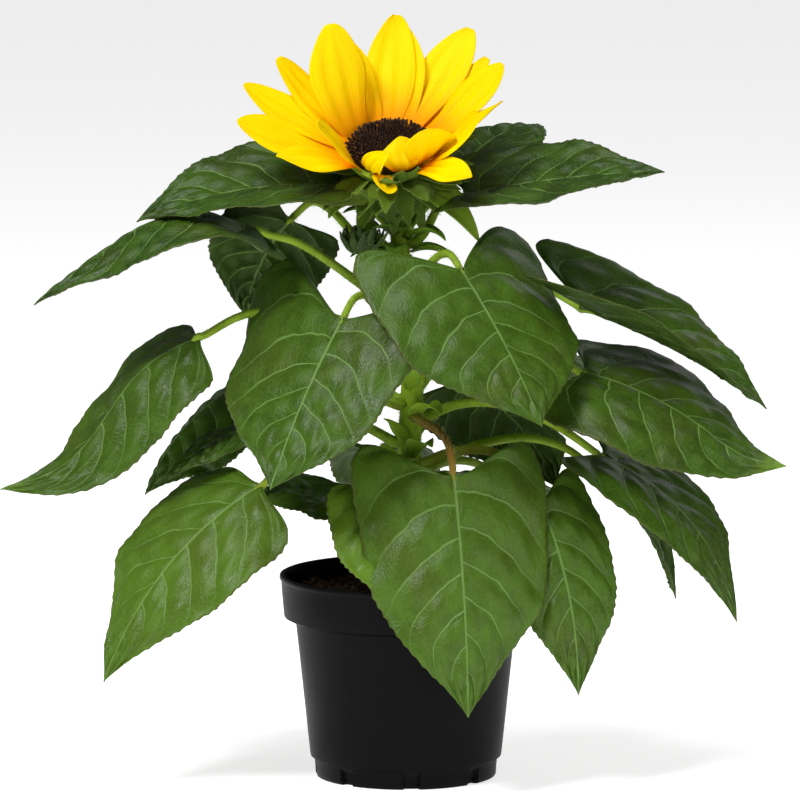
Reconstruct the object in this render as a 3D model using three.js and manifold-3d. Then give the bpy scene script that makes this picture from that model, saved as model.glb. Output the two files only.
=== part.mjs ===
// A dwarf sunflower in a nursery pot: one stem, one open flower, one bud in a leaf axil, and large
// heart-shaped leaves, each a petiole and a blade.
// Millimetres, +Z up. The origin is the middle of the flat underside of the pot. The front of the
// plant looks along -Y.

import * as THREE from "three";
import { mergeVertices } from "three/addons/utils/BufferGeometryUtils.js";
import Module from "manifold-3d";

const wasm = await Module();
wasm.setup();

// ---------------------------------------------------------------- driving dimensions

const GAP = 0.3; // clearance between solids that touch on the plant

const POT_HEIGHT = 97;
const POT_RIM_RADIUS = 60;
const POT_COLLAR_HEIGHT = 20;
const POT_COLLAR_FOOT_RADIUS = 58;
const POT_SHOULDER_RADIUS = 52.5;
const POT_STEP_RADIUS = 45.5;
const POT_STEP_HEIGHT = 10;
const POT_FOOT_RADIUS = 43;
const POT_WALL = 1.6;
const POT_SEGMENTS = 36;

const SOIL_TOP = 87.5;
const SOIL_MOUND = 1.2; // how much the soil rises from the wall to the stem
const SOIL_SEGMENTS = 24;

const STEM_FOOT_RADIUS = 6.4;
const STEM_NECK_RADIUS = 4.2;
const STEM_SIDES = 8;

const PETIOLE_FOOT_RADIUS = 2.4;
const PETIOLE_TIP_RADIUS = 1.5;
const PETIOLE_SIDES = 6;
const PETIOLE_RINGS = 7;
const PETIOLE_END = 2.2; // how far before the blade its petiole stops
const PETIOLE_PULL = 0.33; // how far its first and last directions hold, as a share of its reach
const PETIOLE_RISE = 0.6; // how steeply it leaves the stem
const PETIOLE_ARCH = 0.1; // how far it stands above the line of its blade, as a share of its reach

const BLADE_THICKNESS = 1.2;
const BLADE_KEEL = 1.2; // how far the midrib stands out below the blade
const LOBE_SHARE = 0.3; // how far the heart's lobes reach back, as a share of the blade's length
const LOBE_END = 0.45; // where along the blade the lobes end
const LOBE_BULGE = 0.28; // how much wider the lobes are than a plain ovate blade
const BULGE_END = 0.35;
const NECK_SHARE = 0.3; // width of the blade where it leaves its petiole, against the heart's outline
const THIN_START = 0.85; // where the blade thins towards its tip
const THIN_SHARE = 0.7;
const PLAIN_FOLD = [10, -20]; // degrees that each half of a plain blade is folded up, then bent again
const WIDEST_SKEW = 0.75; // below 1 the blade is widest nearer its foot
const TIP_TAPER = 0.15;
const FLICK_START = 0.7; // where the tip of a blade begins to turn up
const TOP_QUARTER = 0.5; // where the upper side is bent, from midrib to margin
const UNDER_QUARTER = 0.62; // where the under side is bent

const HEAD_CENTRE = new THREE.Vector3(-7.5, -1, 299);
const HEAD_TILT = 27; // degrees that the flower nods towards -Y
const HEAD_LEAN = -3; // degrees that it leans towards +X
const DISC_RADIUS = 18.5;
const DISC_RISE = 5;
const CUP_DEPTH = 15;
const RAY_THICKNESS = 0.9;
const RING_SEGMENTS = 24; // facets of the collar that joins the rays

const COLOURS = {
  pot: 0x1f1f1f,
  soil: 0x2a1510,
  stem: 0x64760f,
  petiole: 0x6f7f2c,
  blade: 0x4c6d34,
  disc: 0x3a1d0e,
  bracts: 0x4f6a1c,
  ray: 0xf8dd05,
};

// ---------------------------------------------------------------- helpers

const rad = THREE.MathUtils.degToRad;
const vec = (x, y, z) => new THREE.Vector3(x, y, z);

function material(colour, roughness) {
  return new THREE.MeshStandardMaterial({ color: colour, roughness, metalness: 0 });
}

function named(name, geometry, colour, roughness = 0.7) {
  const mesh = new THREE.Mesh(geometry, material(colour, roughness));
  mesh.name = name;
  return mesh;
}

// A closed body through rings that all have the same number of points, with one point at each end.
function loft(firstPoint, rings, lastPoint) {
  const sides = rings[0].length;
  const points = [firstPoint, ...rings.flat(), lastPoint];
  const last = points.length - 1;
  const at = (ring, side) => 1 + ring * sides + (side % sides);
  const triangles = [];
  for (let j = 0; j < sides; j += 1) {
    triangles.push(0, at(0, j + 1), at(0, j));
    triangles.push(last, at(rings.length - 1, j), at(rings.length - 1, j + 1));
    for (let i = 0; i < rings.length - 1; i += 1) {
      triangles.push(at(i, j), at(i, j + 1), at(i + 1, j + 1));
      triangles.push(at(i, j), at(i + 1, j + 1), at(i + 1, j));
    }
  }
  const geometry = new THREE.BufferGeometry().setFromPoints(points);
  geometry.setIndex(triangles);
  geometry.computeVertexNormals();
  return geometry;
}

function toSolid(geometry) {
  const bare = geometry.clone();
  bare.deleteAttribute("normal");
  bare.deleteAttribute("uv");
  const merged = mergeVertices(bare, 1e-4);
  return new wasm.Manifold(
    new wasm.Mesh({
      numProp: 3,
      vertProperties: merged.attributes.position.array,
      triVerts: new Uint32Array(merged.index.array),
    }),
  );
}

function toGeometry(solid) {
  const mesh = solid.getMesh();
  const geometry = new THREE.BufferGeometry();
  geometry.setAttribute("position", new THREE.BufferAttribute(mesh.vertProperties, 3));
  geometry.setIndex(new THREE.BufferAttribute(mesh.triVerts, 1));
  geometry.computeVertexNormals();
  return geometry;
}

// A body of revolution about Z from [radius, height] pairs.
function turned(profile, segments) {
  const outline = profile.map(([radius, height]) => new THREE.Vector2(radius, height));
  return new THREE.LatheGeometry(outline, segments).rotateX(Math.PI / 2);
}

// ---------------------------------------------------------------- pot and soil

const COLLAR_FOOT = POT_HEIGHT - POT_COLLAR_HEIGHT;

// Inner radius of the pot at a height above its floor.
function potInside(height) {
  const share = (height - POT_STEP_HEIGHT) / (COLLAR_FOOT - 3 - POT_STEP_HEIGHT);
  const radius = THREE.MathUtils.lerp(POT_STEP_RADIUS, POT_SHOULDER_RADIUS, Math.min(share, 1));
  return radius - POT_WALL;
}

function potGeometry() {
  const floor = POT_WALL * 1.5;
  return turned(
    [
      [0, 0],
      [POT_FOOT_RADIUS - 2, 0],
      [POT_FOOT_RADIUS, 1.2],
      [POT_FOOT_RADIUS + 0.6, POT_STEP_HEIGHT - 1],
      [POT_STEP_RADIUS, POT_STEP_HEIGHT],
      [POT_SHOULDER_RADIUS, COLLAR_FOOT - 3],
      [POT_SHOULDER_RADIUS + 3, COLLAR_FOOT - 1.2],
      [POT_COLLAR_FOOT_RADIUS, COLLAR_FOOT + 0.6],
      [POT_RIM_RADIUS - 0.7, POT_HEIGHT - 2],
      [POT_RIM_RADIUS, POT_HEIGHT - 0.8],
      [POT_RIM_RADIUS - 0.6, POT_HEIGHT],
      [POT_RIM_RADIUS - POT_WALL - 0.8, POT_HEIGHT],
      [POT_COLLAR_FOOT_RADIUS - POT_WALL, COLLAR_FOOT + 2],
      [potInside(COLLAR_FOOT), COLLAR_FOOT - 0.4],
      [potInside(POT_STEP_HEIGHT), POT_STEP_HEIGHT],
      [POT_FOOT_RADIUS - POT_WALL, floor],
      [0, floor],
    ],
    POT_SEGMENTS,
  );
}

function soilGeometry() {
  const floor = POT_WALL * 1.5 + GAP;
  const inset = GAP + 0.5;
  const edge = POT_COLLAR_FOOT_RADIUS - POT_WALL - inset;
  return turned(
    [
      [0, floor],
      [POT_FOOT_RADIUS - POT_WALL - inset, floor],
      [potInside(POT_STEP_HEIGHT) - inset, POT_STEP_HEIGHT],
      [potInside(COLLAR_FOOT) - inset, COLLAR_FOOT - 0.4],
      [edge, COLLAR_FOOT + 2],
      [edge, SOIL_TOP - 0.8],
      [edge - 1.5, SOIL_TOP],
      [22, SOIL_TOP + SOIL_MOUND * 0.8],
      [10, SOIL_TOP + SOIL_MOUND],
      [0, SOIL_TOP + SOIL_MOUND],
    ],
    SOIL_SEGMENTS,
  );
}

// ---------------------------------------------------------------- stem

// The stem wanders a little from leaf to leaf as it climbs.
const STEM_LINE = new THREE.CatmullRomCurve3([
  vec(0, 0, SOIL_TOP + SOIL_MOUND + GAP),
  vec(0.5, 0.5, 125),
  vec(2, 1, 166),
  vec(3, 0.5, 203),
  vec(-2, 1, 236),
  vec(-3, 2, 262),
  vec(-5.5, 3, 280),
]);
const STEM_RINGS = 14;

function stemRadius(share) {
  const swell = 0.8 * Math.exp(-share * 18);
  return THREE.MathUtils.lerp(STEM_FOOT_RADIUS, STEM_NECK_RADIUS, share) + swell;
}

// Two unit vectors square to a direction: one level, one pointing up.
function crossFrame(direction) {
  const upright = Math.abs(direction.z) > 0.999 ? vec(0, 1, 0) : vec(0, 0, 1);
  const right = direction.clone().cross(upright).normalize();
  const up = right.clone().cross(direction).normalize();
  return { right, up };
}

// Points round a centre, turning from the first direction to the second.
function roundRing(centre, first, second, radius, sides) {
  const ring = [];
  for (let j = 0; j < sides; j += 1) {
    const angle = (2 * Math.PI * j) / sides;
    const point = centre.clone().addScaledVector(first, radius * Math.cos(angle));
    ring.push(point.addScaledVector(second, radius * Math.sin(angle)));
  }
  return ring;
}

function stemGeometry() {
  const rings = [];
  for (let i = 0; i < STEM_RINGS; i += 1) {
    const share = i / (STEM_RINGS - 1);
    const centre = STEM_LINE.getPointAt(share);
    rings.push(roundRing(centre, vec(1, 0, 0), vec(0, 1, 0), stemRadius(share), STEM_SIDES));
  }
  return loft(STEM_LINE.getPointAt(0), rings, STEM_LINE.getPointAt(1));
}

// The stem's middle and radius at a height.
function stemAt(height) {
  const foot = STEM_LINE.getPointAt(0).z;
  const top = STEM_LINE.getPointAt(1).z;
  const share = THREE.MathUtils.clamp((height - foot) / (top - foot), 0, 1);
  return { centre: STEM_LINE.getPointAt(share), radius: stemRadius(share) };
}

// ---------------------------------------------------------------- leaves

// The midrib: a line from joint to tip that bows up, may wave, and may turn up at the tip.
function midrib(leaf) {
  const joint = vec(...leaf.joint);
  const tip = vec(...leaf.tip);
  const along = tip.clone().sub(joint).normalize();
  const { up } = crossFrame(along);
  return (share) => {
    const arch = leaf.bow * 4 * share * (1 - share);
    const wave = (leaf.wave ?? 0) * Math.sin(2 * Math.PI * share);
    const flick = (leaf.flick ?? 0) * Math.max(0, (share - FLICK_START) / (1 - FLICK_START)) ** 2;
    return joint.clone().lerp(tip, share).addScaledVector(up, arch + wave + flick);
  };
}

// Half the blade's width as a share of its greatest half width.
function outline(share) {
  const lobe = LOBE_BULGE * Math.max(0, 1 - share / BULGE_END);
  return Math.sin(Math.PI * share ** WIDEST_SKEW) * (1 - TIP_TAPER * share ** 4) + lobe;
}

// A point on one half of a blade's section: out along the fold, then bent again past the quarter.
// fold and curl are degrees.
function halfPoint(reach, width, fold, curl) {
  const inner = Math.min(reach, TOP_QUARTER) * width;
  const outer = Math.max(reach - TOP_QUARTER, 0) * width;
  const first = rad(fold);
  const second = rad(fold + curl);
  return {
    out: inner * Math.cos(first) + outer * Math.cos(second),
    lift: inner * Math.sin(first) + outer * Math.sin(second),
  };
}

const BLADE_STATIONS = [0.03, 0.1, 0.21, 0.33, 0.46, 0.59, 0.71, 0.82, 0.91, 0.965];

function bladeGeometry(leaf) {
  const line = midrib(leaf);
  const chord = vec(...leaf.tip).sub(vec(...leaf.joint));
  const length = chord.length();
  const level = crossFrame(chord.normalize()).right;
  const step = 0.01;
  const rings = BLADE_STATIONS.map((share, index) => {
    const centre = line(share);
    const along = line(share + step).sub(line(share - step)).normalize();
    const right = level
      .clone()
      .addScaledVector(along, -level.dot(along))
      .normalize()
      .applyAxisAngle(along, -rad(leaf.roll ?? 0));
    const up = right.clone().cross(along).normalize();
    const neck = index === 0;
    const half = (leaf.width / 2) * outline(share) * (neck ? NECK_SHARE : 1);
    const back = neck ? 0 : length * (leaf.lobe ?? LOBE_SHARE) * Math.max(0, 1 - share / LOBE_END);
    const thin = BLADE_THICKNESS * (share > THIN_START ? THIN_SHARE : 1);
    const place = (side, reach, drop) => {
      const [fold, curl] = (side > 0 ? leaf.right : leaf.left) ?? PLAIN_FOLD;
      const { out, lift } = halfPoint(reach, half, fold, curl);
      return centre
        .clone()
        .addScaledVector(right, side * out)
        .addScaledVector(up, lift - drop)
        .addScaledVector(along, -back * reach);
    };
    return [
      place(-1, 1, thin / 2),
      place(-1, TOP_QUARTER, 0),
      place(1, 0, 0),
      place(1, TOP_QUARTER, 0),
      place(1, 1, thin / 2),
      place(1, UNDER_QUARTER, thin),
      place(1, 0, thin + BLADE_KEEL * (1 - share)),
      place(-1, UNDER_QUARTER, thin),
    ];
  });
  const drop = vec(0, 0, -BLADE_THICKNESS / 2);
  return loft(line(0).add(drop), rings, line(1).add(drop));
}

function petioleGeometry(leaf) {
  const line = midrib(leaf);
  const joint = line(0);
  const into = line(0.04).sub(joint).normalize();
  const node = stemAt(leaf.from);
  const outwards = joint.clone().sub(node.centre).setZ(0).normalize();
  const start = node.centre.clone().addScaledVector(outwards, node.radius + PETIOLE_FOOT_RADIUS * 0.8 + GAP);
  const end = joint.clone().addScaledVector(into, -PETIOLE_END).add(vec(0, 0, -BLADE_THICKNESS / 2));
  const reach = start.distanceTo(end);
  const pull = reach * PETIOLE_PULL;
  const curve = new THREE.CubicBezierCurve3(
    start,
    start.clone().addScaledVector(outwards, pull).add(vec(0, 0, pull * (leaf.rise ?? PETIOLE_RISE))),
    end.clone().addScaledVector(into, -pull).add(vec(0, 0, reach * PETIOLE_ARCH)),
    end,
  );
  const rings = [];
  for (let i = 0; i < PETIOLE_RINGS; i += 1) {
    const share = i / (PETIOLE_RINGS - 1);
    const along = curve.getTangentAt(share);
    const { right, up } = crossFrame(along);
    const radius = THREE.MathUtils.lerp(PETIOLE_FOOT_RADIUS, PETIOLE_TIP_RADIUS, share);
    rings.push(roundRing(curve.getPointAt(share), up, right, radius, PETIOLE_SIDES));
  }
  const firstPoint = curve.getPointAt(0).addScaledVector(curve.getTangentAt(0), -0.4);
  const lastPoint = curve.getPointAt(1).addScaledVector(curve.getTangentAt(1), 1.2);
  return loft(firstPoint, rings, lastPoint);
}

// One row a leaf, from the foot of the plant up. from: height of its node on the stem. joint and tip:
// the two ends of the midrib. width: across the widest part. bow: how far the midrib arches up. wave:
// how far it rises early and sinks late. flick: how far the tip turns up. roll: degrees that the right
// side is raised. left, right: degrees that each half is folded up, and bent again past its middle.
// lobe: how far its lobes reach back, where not the plain share. rise: how steeply its petiole leaves the
// stem.
const LEAVES = [
  { name: "front_centre", from: 172, joint: [22, -48, 154], tip: [29, -80, 42], width: 90, bow: 7,
    left: [-8, -10], right: [-8, -10], rise: -0.2 },
  { name: "front_left_low", from: 150, joint: [-4, -36, 141], tip: [8, -69, 84], width: 74, bow: 3,
    left: [5, -15], right: [5, -15] },
  { name: "front_right_low", from: 150, joint: [62, -30, 139], tip: [81, -54, 48], width: 54, bow: 8,
    roll: -15, left: [4, -10], right: [-10, -20] },
  { name: "left_low", from: 178, joint: [-67, -28, 145], tip: [-142, -52, 54], width: 76, bow: 11,
    roll: 30, lobe: 0.08, left: [-5, -10], right: [-5, -10] },
  { name: "right_low", from: 172, joint: [90, -16, 158], tip: [156, -36, 80], width: 62, bow: 14,
    left: [10, 0], right: [-12, -10] },
  { name: "right_thin", from: 146, joint: [92, 16, 142], tip: [129, 8, 84], width: 38, bow: 6,
    left: [20, 0], right: [20, 0] },
  { name: "left_back", from: 180, joint: [-81, 32, 184], tip: [-125, 28, 131], width: 62, bow: 6,
    left: [-50, -10], right: [-5, -10] },
  { name: "left_back_low", from: 160, joint: [-72, 2, 168], tip: [-114, -12, 144], width: 34, bow: 4,
    left: [-10, -10], right: [5, -10] },
  { name: "left_under", from: 140, joint: [-32, 4, 131], tip: [-78, 16, 130], width: 50, bow: 6,
    left: [-5, -15], right: [12, -10] },
  { name: "back_centre", from: 186, joint: [23, 29, 187], tip: [73, 57, 130], width: 70, bow: 8,
    roll: 30, left: [-10, -20], right: [-10, -20] },
  { name: "back_low", from: 146, joint: [-11, 34, 152], tip: [-9, 98, 103], width: 54, bow: 8 },
  { name: "back_right_low", from: 142, joint: [45, 45, 136], tip: [79, 98, 78], width: 58, bow: 8 },
  { name: "right_mid", from: 196, joint: [81, -15, 197], tip: [171, -38, 142], width: 86, bow: 9,
    flick: 15, left: [18, -10], right: [-25, -15] },
  { name: "left_mid", from: 205, joint: [-96, -5, 212], tip: [-192, -14, 140], width: 64, bow: -3,
    wave: 7, lobe: 0.1, left: [-45, -10], right: [10, 0] },
  { name: "back_right", from: 205, joint: [50, 44, 200], tip: [102, 88, 152], width: 68, bow: 8 },
  { name: "back_left", from: 205, joint: [-28, 46, 206], tip: [-64, 106, 164], width: 66, bow: 8 },
  { name: "front_left_high", from: 220, joint: [-29, -42, 226], tip: [-63, -84, 150], width: 106, bow: 3,
    roll: 6, lobe: 0.42, left: [-5, -12], right: [-5, -12] },
  { name: "front_right_high", from: 236, joint: [25, -33, 248], tip: [63, -80, 179], width: 102, bow: 3,
    roll: -6, lobe: 0.44, left: [-5, -12], right: [-5, -12] },
  { name: "right_high", from: 225, joint: [81, 2, 226], tip: [171, -4, 177], width: 78, bow: 4,
    lobe: 0.44, left: [30, -5], right: [16, 0] },
  { name: "left_high", from: 226, joint: [-66, -6, 261], tip: [-175, -25, 229], width: 66, bow: 20,
    wave: 4, left: [-16, -5], right: [-10, -10] },
  { name: "left_shaded", from: 240, joint: [-54, 33, 264], tip: [-77, 37, 216], width: 60, bow: 4,
    roll: -75, left: [-10, -10], right: [-10, -10] },
  { name: "left_top", from: 252, joint: [-30, -2, 283], tip: [-127, -12, 267], width: 72, bow: 6,
    left: [-3, -10], right: [32, 0] },
  { name: "right_top", from: 255, joint: [25, 4, 278], tip: [122, -6, 290], width: 70, bow: 2,
    left: [28, 0], right: [-4, -8] },
  { name: "back_right_top", from: 262, joint: [21, 32, 281], tip: [66, 90, 302], width: 62, bow: 8 },
  { name: "back_left_top", from: 262, joint: [-29, 30, 279], tip: [-71, 77, 293], width: 58, bow: 8 },
];

// ---------------------------------------------------------------- flower

const HEAD_TURN = new THREE.Matrix4()
  .makeRotationY(rad(HEAD_LEAN))
  .premultiply(new THREE.Matrix4().makeRotationX(rad(HEAD_TILT)))
  .setPosition(HEAD_CENTRE);

// The cup behind the flower, green bracts that close round the disc on the top of the stem.
const CUP_PROFILE = [
  [0, -CUP_DEPTH],
  [STEM_NECK_RADIUS + 1, -CUP_DEPTH],
  [DISC_RADIUS * 0.62, -CUP_DEPTH * 0.72],
  [DISC_RADIUS + 2, -CUP_DEPTH * 0.3],
  [DISC_RADIUS + 2.5, -2.8],
  [0, -2.8],
];

const DISC_PROFILE = [
  [0, -2.2],
  [DISC_RADIUS - 1, -2.2],
  [DISC_RADIUS, 0],
  [DISC_RADIUS * 0.82, DISC_RISE * 0.9],
  [DISC_RADIUS * 0.45, DISC_RISE],
  [0, DISC_RISE * 0.72],
];

// One row a ray floret: its place round the disc in degrees from +X, its length and width, how
// steeply it stands, and how much further it bends inwards on its way to the tip.
const RAYS = [
  { turn: 0, length: 43, width: 17, lift: 33, bend: 4 },
  { turn: 22, length: 50, width: 20, lift: 32, bend: 6 },
  { turn: 42, length: 50, width: 17, lift: 22, bend: 6 },
  { turn: 62, length: 58, width: 21, lift: 22, bend: 6 },
  { turn: 76, length: 52, width: 18, lift: 36, bend: 4 },
  { turn: 90, length: 56, width: 21, lift: 33, bend: 6 },
  { turn: 112, length: 50, width: 18, lift: 48, bend: 6 },
  { turn: 140, length: 57, width: 25, lift: 66, bend: 6 },
  { turn: 149, length: 54, width: 17, lift: 36, bend: 6 },
  { turn: 168, length: 58, width: 18, lift: 28, bend: 4 },
  { turn: 188, length: 58, width: 23, lift: 26, bend: 6 },
  { turn: 213, length: 48, width: 16, lift: 28, bend: 0 },
  { turn: 222, length: 44, width: 10, lift: 60, bend: 0 },
  { turn: 262, length: 18, width: 12, lift: 20, bend: -10 },
  { turn: 286, length: 17, width: 17, lift: 75, bend: 40 },
  { turn: 311, length: 40, width: 14, lift: 30, bend: -8 },
  { turn: 322, length: 17, width: 15, lift: 68, bend: 30 },
  { turn: 338, length: 38, width: 22, lift: 38, bend: 6 },
];
// Where each ray's sections lie along it, and their width as a share of its greatest width.
const RAY_STATIONS = [
  { share: 0.06, width: 0.3 },
  { share: 0.25, width: 0.78 },
  { share: 0.5, width: 1 },
  { share: 0.75, width: 0.9 },
  { share: 0.93, width: 0.5 },
];
const RAY_CHANNEL = 0.8; // how far the edges of a ray stand above its middle
const RAY_STAGGER = 1.8; // how far every second ray is set above its neighbours
const RAY_FOOT = -1.3; // height of the foot of a ray against the disc's edge

function rayGeometry(ray, index) {
  const foot = RAY_FOOT + (index % 2) * RAY_STAGGER;
  const point = (share, across, up) => {
    const lift = rad(ray.lift + ray.bend * share);
    const slope = rad(ray.lift + 2 * ray.bend * share);
    const out = DISC_RADIUS + 1.6 + ray.length * share * Math.cos(lift) - up * Math.sin(slope);
    const height = foot + ray.length * share * Math.sin(lift) + up * Math.cos(slope);
    return vec(out, across, height).applyAxisAngle(vec(0, 0, 1), rad(ray.turn));
  };
  const rings = RAY_STATIONS.map(({ share, width }) => {
    const half = (ray.width / 2) * width;
    return [
      point(share, -half, RAY_CHANNEL),
      point(share, 0, -RAY_THICKNESS),
      point(share, half, RAY_CHANNEL),
      point(share, 0, 0),
    ];
  });
  return loft(point(0, 0, -RAY_THICKNESS / 2), rings, point(1, 0, -RAY_THICKNESS / 2));
}

// The rays joined by a collar round the disc.
function rayCrownGeometry() {
  const collar = turned(
    [
      [DISC_RADIUS + 0.5, -2.3],
      [DISC_RADIUS + 3.2, -2.3],
      [DISC_RADIUS + 3.4, 0.6],
      [DISC_RADIUS + 0.8, 0.4],
      [DISC_RADIUS + 0.5, -2.3],
    ],
    RING_SEGMENTS,
  );
  const rays = RAYS.map((ray, index) => toSolid(rayGeometry(ray, index)));
  return toGeometry(wasm.Manifold.union([toSolid(collar), ...rays])).applyMatrix4(HEAD_TURN);
}

// ---------------------------------------------------------------- side bud

const BUD_FROM = vec(-9, -7, 231);
const BUD_CENTRE = vec(-21, -13, 257);
const BUD_RADIUS = 7;

function budGeometry() {
  const curve = new THREE.QuadraticBezierCurve3(BUD_FROM, vec(-18, -13, 237), BUD_CENTRE);
  const sizes = [1.6, 1.5, 1.6, 3.4, BUD_RADIUS, BUD_RADIUS * 0.9, 3];
  const shares = [0, 0.35, 0.66, 0.74, 0.86, 0.97, 1];
  const rings = shares.map((share, index) => {
    const { right, up } = crossFrame(curve.getTangentAt(share));
    return roundRing(curve.getPointAt(share), up, right, sizes[index], 8);
  });
  return loft(curve.getPointAt(0), rings, curve.getPointAt(1).add(vec(0, 0, 1)));
}

// ---------------------------------------------------------------- the plant

const plant = new THREE.Group();
plant.add(named("pot", potGeometry(), COLOURS.pot, 0.45));
plant.add(named("soil", soilGeometry(), COLOURS.soil, 0.95));
plant.add(named("stem", stemGeometry(), COLOURS.stem));
for (const leaf of LEAVES) {
  plant.add(named(`petiole_${leaf.name}`, petioleGeometry(leaf), COLOURS.petiole));
  plant.add(named(`leaf_${leaf.name}`, bladeGeometry(leaf), COLOURS.blade));
}
plant.add(named("flower_cup", turned(CUP_PROFILE, 16).applyMatrix4(HEAD_TURN), COLOURS.bracts));
plant.add(named("flower_disc", turned(DISC_PROFILE, 18).applyMatrix4(HEAD_TURN), COLOURS.disc, 0.9));
plant.add(named("ray_crown", rayCrownGeometry(), COLOURS.ray, 0.5));
plant.add(named("side_bud", budGeometry(), COLOURS.bracts));

export default plant;
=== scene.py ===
"""The looks of a potted sunflower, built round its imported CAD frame.

Every leaf, stalk and the stem is read back from its CAD node, whose surface is rows of rings from foot
to tip, and is built again as a fine mesh on those rings. Metres, +Z up, the plant's front towards -Y.
"""

import math

import bpy
import numpy as np
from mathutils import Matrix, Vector


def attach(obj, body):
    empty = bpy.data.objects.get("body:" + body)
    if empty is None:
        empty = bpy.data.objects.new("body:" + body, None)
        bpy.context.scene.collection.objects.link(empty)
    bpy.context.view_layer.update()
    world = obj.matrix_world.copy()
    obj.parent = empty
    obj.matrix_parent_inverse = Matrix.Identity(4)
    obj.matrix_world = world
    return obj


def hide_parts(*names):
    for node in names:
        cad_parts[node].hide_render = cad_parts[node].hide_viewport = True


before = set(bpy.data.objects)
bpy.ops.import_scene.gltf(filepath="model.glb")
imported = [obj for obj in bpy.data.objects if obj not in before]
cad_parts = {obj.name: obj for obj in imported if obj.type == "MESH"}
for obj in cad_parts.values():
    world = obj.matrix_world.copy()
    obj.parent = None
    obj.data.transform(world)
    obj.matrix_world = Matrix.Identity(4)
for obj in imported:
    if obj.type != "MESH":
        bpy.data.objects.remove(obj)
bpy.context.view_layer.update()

MM = 0.001
SEED = 11

# ------------------------------------------------------------------ sizes

BLADE_ROWS = 97
BLADE_COLUMNS = 49
BLADE_THICKNESS = 0.38 * MM
LATERALS = 7  # side veins on each side of a midrib
LATERAL_SWEEP = 0.20  # how far a side vein runs towards the tip on its way to the margin
LATERAL_ARCH = 0.10  # and how much more it does so near the margin
LATERAL_SHIFT = 0.37  # the left side's veins lie between the right side's
QUILT = 2.0 * MM  # how far the blade swells between its veins
TEETH = 24
TOOTH = 1.15 * MM
MARGIN_WAVE = 1.4 * MM

RAY_ROWS = 41
RAY_COLUMNS = 21
RAY_THICKNESS = 0.3 * MM

# The ray florets: place round the disc in degrees, length and width in millimetres, lift above the disc,
# further bend and twist along the way in degrees, and how far the tip has moved sideways in millimetres.
# They are close to those of the CAD model. The fuller ones at 286 and 318 differ more from it, and the
# one at 246 is only here.
RAYS = [
    (0, 43, 17, 33, 4, 14, 0), (22, 50, 20, 32, 6, -10, 0), (42, 50, 17, 22, 6, 8, 0),
    (62, 58, 23, 24, 6, -12, 8), (76, 52, 18, 34, 4, 4, -6), (90, 56, 23, 33, 6, 0, 5),
    (112, 50, 18, 44, 6, 10, -4), (140, 55, 27, 62, 6, 34, 8), (149, 54, 17, 36, 6, 14, 0),
    (168, 58, 18, 28, 4, 16, 0), (188, 58, 23, 26, 2, 18, 0), (213, 46, 18, 26, 0, 20, 0),
    (222, 44, 12, 58, 0, 60, 0), (246, 24, 13, 30, 30, 50, -14), (262, 18, 11, 20, -14, 30, -5),
    (286, 16, 19, 58, 50, 14, 0), (311, 40, 14, 30, -12, -30, 0), (318, 27, 25, 52, 14, 34, 2),
    (338, 40, 23, 40, 8, -16, 0),
]

# ------------------------------------------------------------------ reading the CAD nodes


def cad_mesh(node):
    """The welded points and the triangles of a CAD node."""
    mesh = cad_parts[node].data
    mesh.calc_loop_triangles()
    points = np.empty(len(mesh.vertices) * 3)
    mesh.vertices.foreach_get("co", points)
    points = points.reshape(-1, 3)
    triangles = np.empty(len(mesh.loop_triangles) * 3, int)
    mesh.loop_triangles.foreach_get("vertices", triangles)
    _, first, welded = np.unique(np.round(points, 6), axis=0, return_index=True, return_inverse=True)
    return points[first], welded.reshape(-1)[triangles].reshape(-1, 3)


def cad_rings(node, measure):
    """The rings of points that a lofted CAD node is made of, from the end where measure(point) is less.

    Returns the point that closes that end, an array of rings, and the point that closes the far end.
    """
    points, triangles = cad_mesh(node)
    third = {}
    neighbours = [set() for _ in points]
    for a, b, c in triangles:
        third[a, b], third[b, c], third[c, a] = c, a, b
        neighbours[a] |= {b, c}
        neighbours[b] |= {a, c}
        neighbours[c] |= {a, b}
    ends = [p for p, around in enumerate(neighbours) if all(len(neighbours[q]) == 5 for q in around)]
    ends.sort(key=lambda p: measure(points[p]))
    first, last = ends[0], ends[-1]
    follow = {third[first, q]: q for q in neighbours[first]}
    ring = [min(neighbours[first])]
    while len(ring) < len(follow):
        ring.append(follow[ring[-1]])
    rings = []
    while ring[0] != last:
        rings.append(ring)
        ring = [third[ring[j - 1], ring[j]] for j in range(len(ring))]
    return points[first], points[np.array(rings)], points[last]


def smooth(knots, count, low=0.0, high=0.0):
    """Samples of a Catmull-Rom curve through rows of knots.

    The samples run from low past the first knot to high before the last one, in knots.
    """
    knots = np.asarray(knots, float)
    place = np.linspace(low, len(knots) - 1 - high, count)
    start = np.minimum(place.astype(int), len(knots) - 2)
    f = (place - start).reshape((-1,) + (1,) * (knots.ndim - 1))
    before, this = knots[np.maximum(start - 1, 0)], knots[start]
    following, after = knots[start + 1], knots[np.minimum(start + 2, len(knots) - 1)]
    out, into = (following - before) / 2, (after - this) / 2
    return (
        this * (2 * f**3 - 3 * f**2 + 1)
        + following * (3 * f**2 - 2 * f**3)
        + out * (f**3 - 2 * f**2 + f)
        + into * (f**3 - f**2)
    )


def unit(vectors):
    return vectors / np.maximum(np.linalg.norm(vectors, axis=-1, keepdims=True), 1e-12)


def step(value, low, high):
    """A smooth rise from 0 at low to 1 at high."""
    share = np.clip((value - low) / (high - low), 0, 1)
    return share * share * (3 - 2 * share)


# ------------------------------------------------------------------ building meshes


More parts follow.
